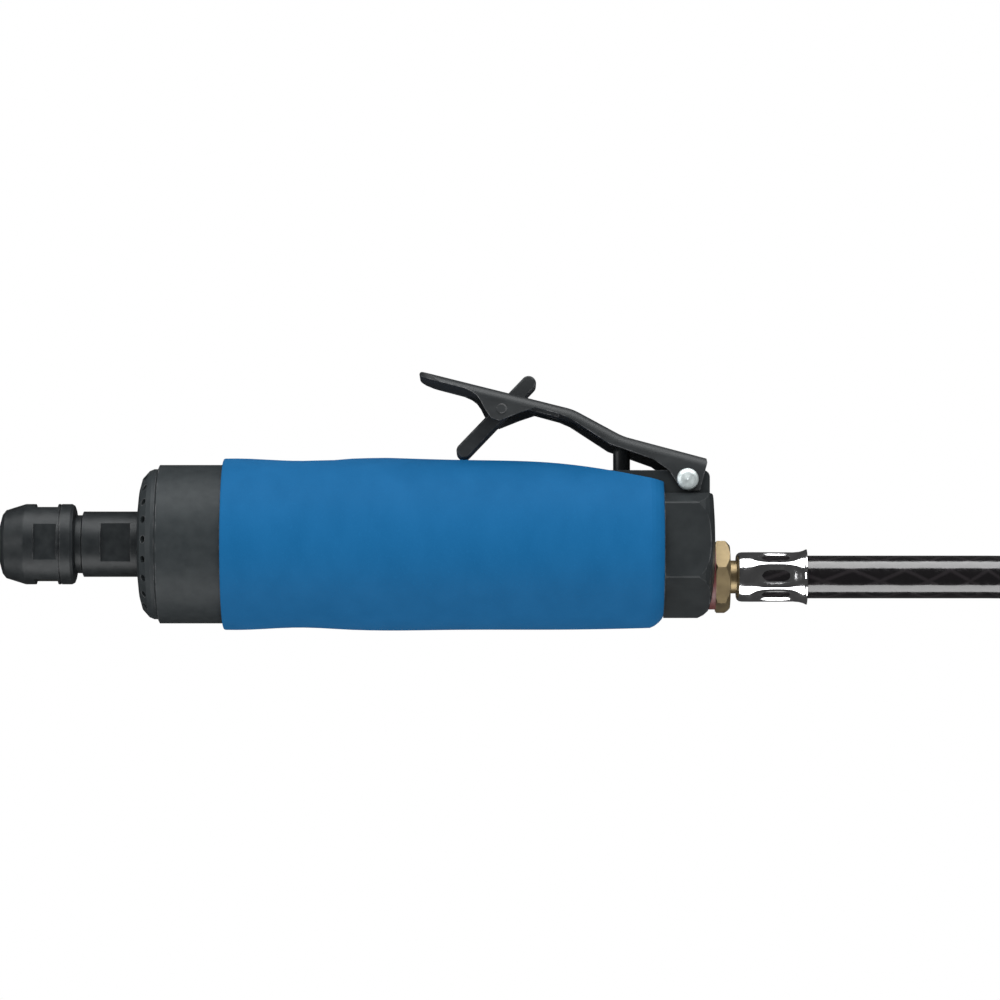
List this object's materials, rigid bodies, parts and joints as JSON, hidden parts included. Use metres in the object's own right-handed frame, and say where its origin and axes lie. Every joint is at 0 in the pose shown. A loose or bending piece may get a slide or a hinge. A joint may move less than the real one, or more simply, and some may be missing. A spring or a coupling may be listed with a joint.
{
  "type": "die grinder",
  "caption": "Straight pneumatic die grinder with collet chuck, vane motor, throttle lever with safety lock and a coiled air supply hose.",
  "frame": {"origin": "centre of the collet's mouth, on the spindle axis", "axes": "+X back along the tool to the air inlet, +Z towards the throttle lever, -X out of the collet"},
  "size_m": [0.4128, 0.1444, 0.0676],
  "materials": {
    "cap_black": "satin black anodised",
    "housing_black": "satin black anodised",
    "spindle_black": "black oxide, lightly oiled",
    "collet_steel": "ground spring steel",
    "stem_steel": "turned, oiled",
    "bearing_steel": "ground",
    "spring_steel": "bright wire",
    "motor_iron": "machined",
    "cage_brass": "machined",
    "fitting_brass": "turned brass",
    "sintered_bronze": "porous sintered",
    "zinc_plate": "bright zinc plate",
    "ferrule_chrome": "bright chrome plate",
    "grip_blue": "fine moulded grain, soft touch",
    "vane_composite": "fibre laminate",
    "lever_black": "black coated pressed steel",
    "lock_black": "black coated steel",
    "seal_rubber": "nitrile",
    "seal_red": "red fibre seal",
    "hose_black": "glossy black cover over braid",
    "tie_fabric": "hook-and-loop strap"
  },
  "bodies": {
    "root": {"front_cap": "cap_black", "silencer_ring": "sintered_bronze", "front_bearing_outer_ring": "bearing_steel", "front_end_plate": "motor_iron", "cylinder_liner": "motor_iron", "locating_pin": "bearing_steel", "rear_end_plate": "motor_iron", "rear_bearing_outer_ring": "bearing_steel", "motor_housing": "housing_black", "grip_sleeve": "grip_blue", "valve_housing": "housing_black", "valve_seat_bush": "fitting_brass", "stem_o_ring": "seal_rubber", "valve_spring": "spring_steel", "valve_chamber_plug": "fitting_brass", "lever_pivot_pin": "zinc_plate", "inlet_seal": "seal_red", "inlet_strainer": "spring_steel", "inlet_nipple": "fitting_brass", "hose_ferrule": "ferrule_chrome", "air_hose_lead": "hose_black", "air_hose_coil": "hose_black", "coil_tie": "tie_fabric", "far_end_nipple": "fitting_brass", "far_end_ferrule": "ferrule_chrome"},
    "spindle": {"spindle": "spindle_black", "rotor": "bearing_steel", "rotor_vanes": "vane_composite", "rotor_key": "bearing_steel", "front_bearing_inner_ring": "bearing_steel", "rear_bearing_inner_ring": "bearing_steel", "front_bearing_spacer": "bearing_steel", "rear_bearing_spacer": "bearing_steel", "bearing_retaining_ring": "spring_steel"},
    "front_cage": {"front_bearing_cage": "cage_brass", "front_bearing_balls": "bearing_steel"},
    "rear_cage": {"rear_bearing_cage": "cage_brass", "rear_bearing_balls": "bearing_steel"},
    "collet": {"collet": "collet_steel"},
    "collet_nut": {"collet_nut": "spindle_black"},
    "throttle_lever": {"throttle_lever": "lever_black", "lock_pivot_pin": "lever_black", "lock_spring": "spring_steel"},
    "lock_lever": {"lock_lever": "lock_black"},
    "valve_stem": {"valve_stem": "stem_steel", "valve_disc": "seal_rubber"}
  },
  "joints": [
    {"name": "spindle_spin", "type": "hinge", "parent": "root", "child": "spindle", "pos_m": [0.05, 0, 0], "axis": [1, 0, 0], "continuous": true},
    {"name": "front_cage_spin", "type": "hinge", "parent": "root", "child": "front_cage", "pos_m": [0.0542, 0, 0], "axis": [1, 0, 0], "continuous": true},
    {"name": "rear_cage_spin", "type": "hinge", "parent": "root", "child": "rear_cage", "pos_m": [0.1153, 0, 0], "axis": [1, 0, 0], "continuous": true},
    {"name": "collet_slide", "type": "slide", "parent": "spindle", "child": "collet", "axis": [-1, 0, 0], "range_m": [0, 0.0021]},
    {"name": "nut_turn", "type": "hinge", "parent": "collet", "child": "collet_nut", "pos_m": [0.01, 0, 0], "axis": [-1, 0, 0], "range_deg": [0, 720]},
    {"name": "throttle_press", "type": "hinge", "parent": "root", "child": "throttle_lever", "pos_m": [0.1811, 0, 0.0162], "axis": [0, -1, 0], "range_deg": [0, 10], "stiffness_Nm_per_rad": 0.6, "springref_deg": -18.91},
    {"name": "lock_fold", "type": "hinge", "parent": "throttle_lever", "child": "lock_lever", "pos_m": [0.1324, 0, 0.03475], "axis": [0, 1, 0], "range_deg": [0, 60]},
    {"name": "valve_press", "type": "slide", "parent": "root", "child": "valve_stem", "axis": [0, 0, -1], "range_m": [0, 0.004], "deforming": ["valve_spring"]}
  ],
  "couplings": [
    {"joint": "front_cage_spin", "follows": "spindle_spin", "ratio": 0.381},
    {"joint": "rear_cage_spin", "follows": "spindle_spin", "ratio": 0.368},
    {"joint": "collet_slide", "follows": "nut_turn", "m_per_rad": 0.00015915},
    {"joint": "lock_fold", "follows": "throttle_press", "ratio": 5.8},
    {"joint": "valve_press", "follows": "throttle_press", "m_per_rad": 0.0175}
  ]
}
